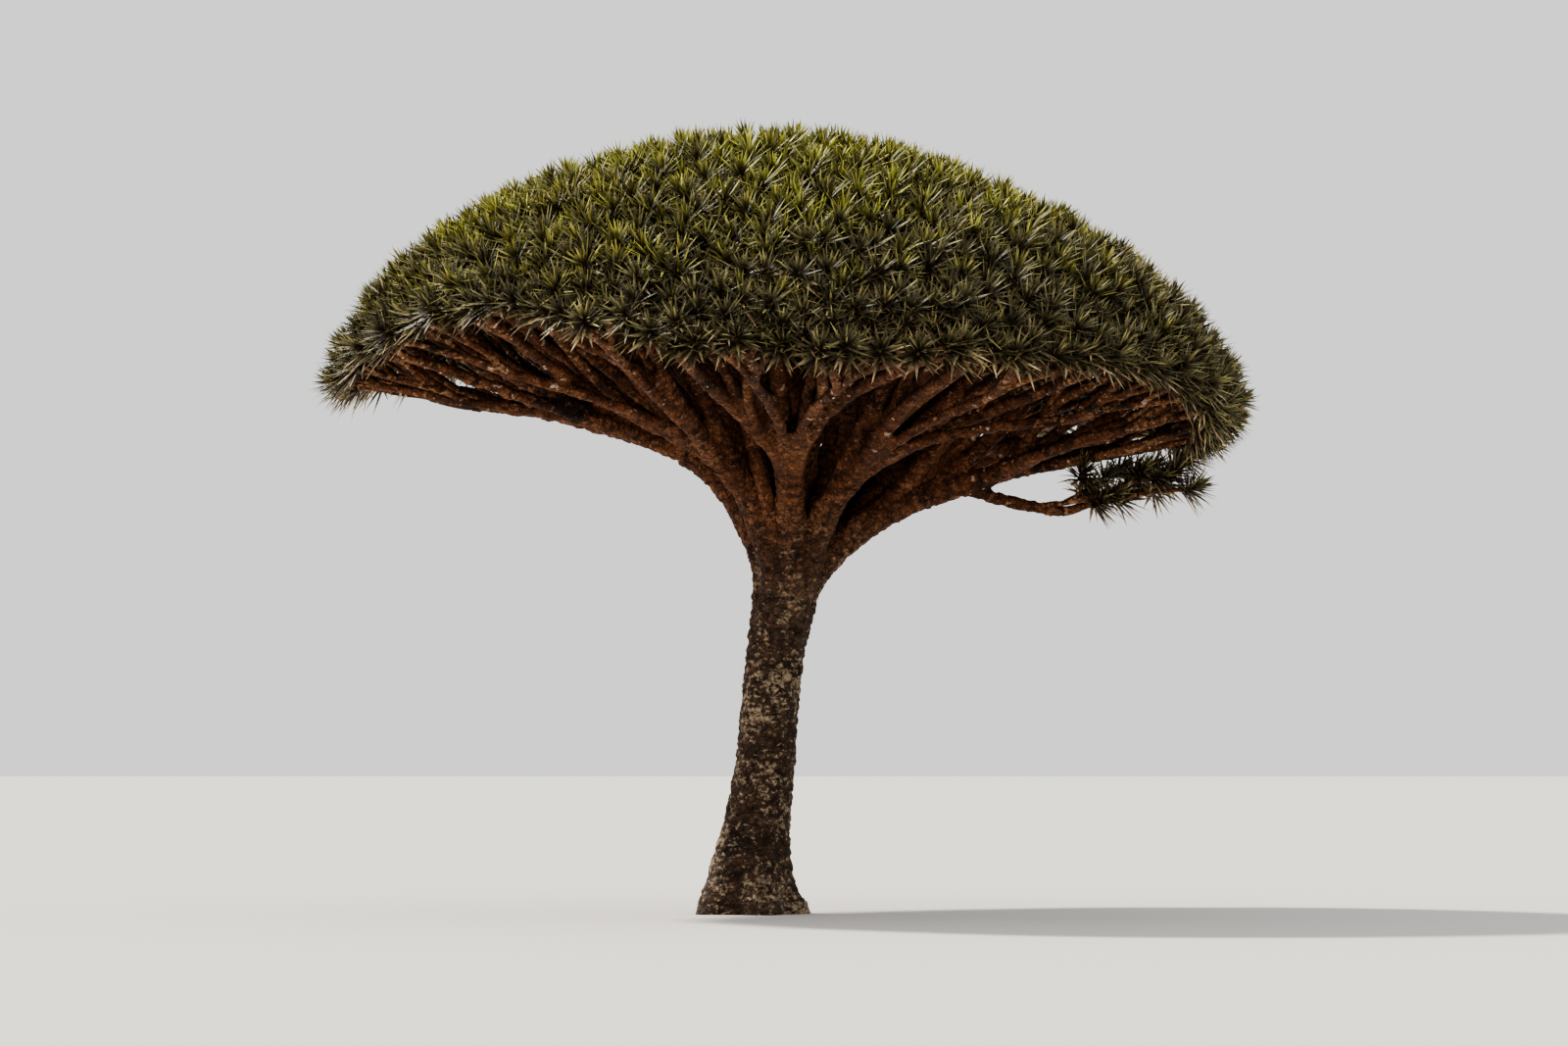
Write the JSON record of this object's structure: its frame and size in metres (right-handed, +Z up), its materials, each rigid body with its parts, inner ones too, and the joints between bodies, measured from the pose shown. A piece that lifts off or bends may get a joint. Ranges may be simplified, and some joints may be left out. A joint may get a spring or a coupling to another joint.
{
  "type": "dragon blood tree",
  "caption": "Whole tree with a leaning bare trunk that forks into radiating boughs under a wide umbrella dome of stiff, sword-leaved rosettes.",
  "frame": {"origin": "centre of the trunk's flat cut at ground level", "axes": "+Z up, +X to the side that the trunk leans to, +Y away from the viewer of the picture"},
  "size_m": [10.7523, 10.3098, 9.0645],
  "materials": {
    "trunk_bark": "rough grey-brown bark with paler flecks",
    "bough_bark": "rough warm red-brown bark with growth scars",
    "foliage": "satin leathery leaves"
  },
  "bodies": {
    "root": {"trunk": "trunk_bark", "bough_back": "bough_bark", "bough_back_left": "bough_bark", "bough_back_right": "bough_bark", "bough_front": "bough_bark", "bough_front_left": "bough_bark", "bough_front_right": "bough_bark", "bough_left": "bough_bark", "bough_right": "bough_bark", "bough_upper_front": "bough_bark", "bough_upper_left": "bough_bark", "bough_upper_right": "bough_bark", "branch_back_a": "bough_bark", "branch_back_b": "bough_bark", "branch_back_left_a": "bough_bark", "branch_back_left_b": "bough_bark", "branch_back_right_a": "bough_bark", "branch_back_right_b": "bough_bark", "branch_drooping": "bough_bark", "branch_front_a": "bough_bark", "branch_front_b": "bough_bark", "branch_front_left_a": "bough_bark", "branch_front_left_b": "bough_bark", "branch_front_right_a": "bough_bark", "branch_front_right_b": "bough_bark", "branch_left_a": "bough_bark", "branch_left_b": "bough_bark", "branch_right_a": "bough_bark", "branch_right_b": "bough_bark", "branch_shoulder_1": "bough_bark", "branch_shoulder_2": "bough_bark", "branch_shoulder_3": "bough_bark", "branch_shoulder_4": "bough_bark", "branch_shoulder_5": "bough_bark", "branch_top": "bough_bark", "foliage_back_a": "foliage", "foliage_back_b": "foliage", "foliage_back_left_a": "foliage", "foliage_back_left_b": "foliage", "foliage_back_right_a": "foliage", "foliage_back_right_b": "foliage", "foliage_drooping": "foliage", "foliage_front_a": "foliage", "foliage_front_b": "foliage", "foliage_front_left_a": "foliage", "foliage_front_left_b": "foliage", "foliage_front_right_a": "foliage", "foliage_front_right_b": "foliage", "foliage_left_a": "foliage", "foliage_left_b": "foliage", "foliage_right_a": "foliage", "foliage_right_b": "foliage", "foliage_shoulder_1": "foliage", "foliage_shoulder_2": "foliage", "foliage_shoulder_3": "foliage", "foliage_shoulder_4": "foliage", "foliage_shoulder_5": "foliage", "foliage_top": "foliage"}
  },
  "joints": []
}
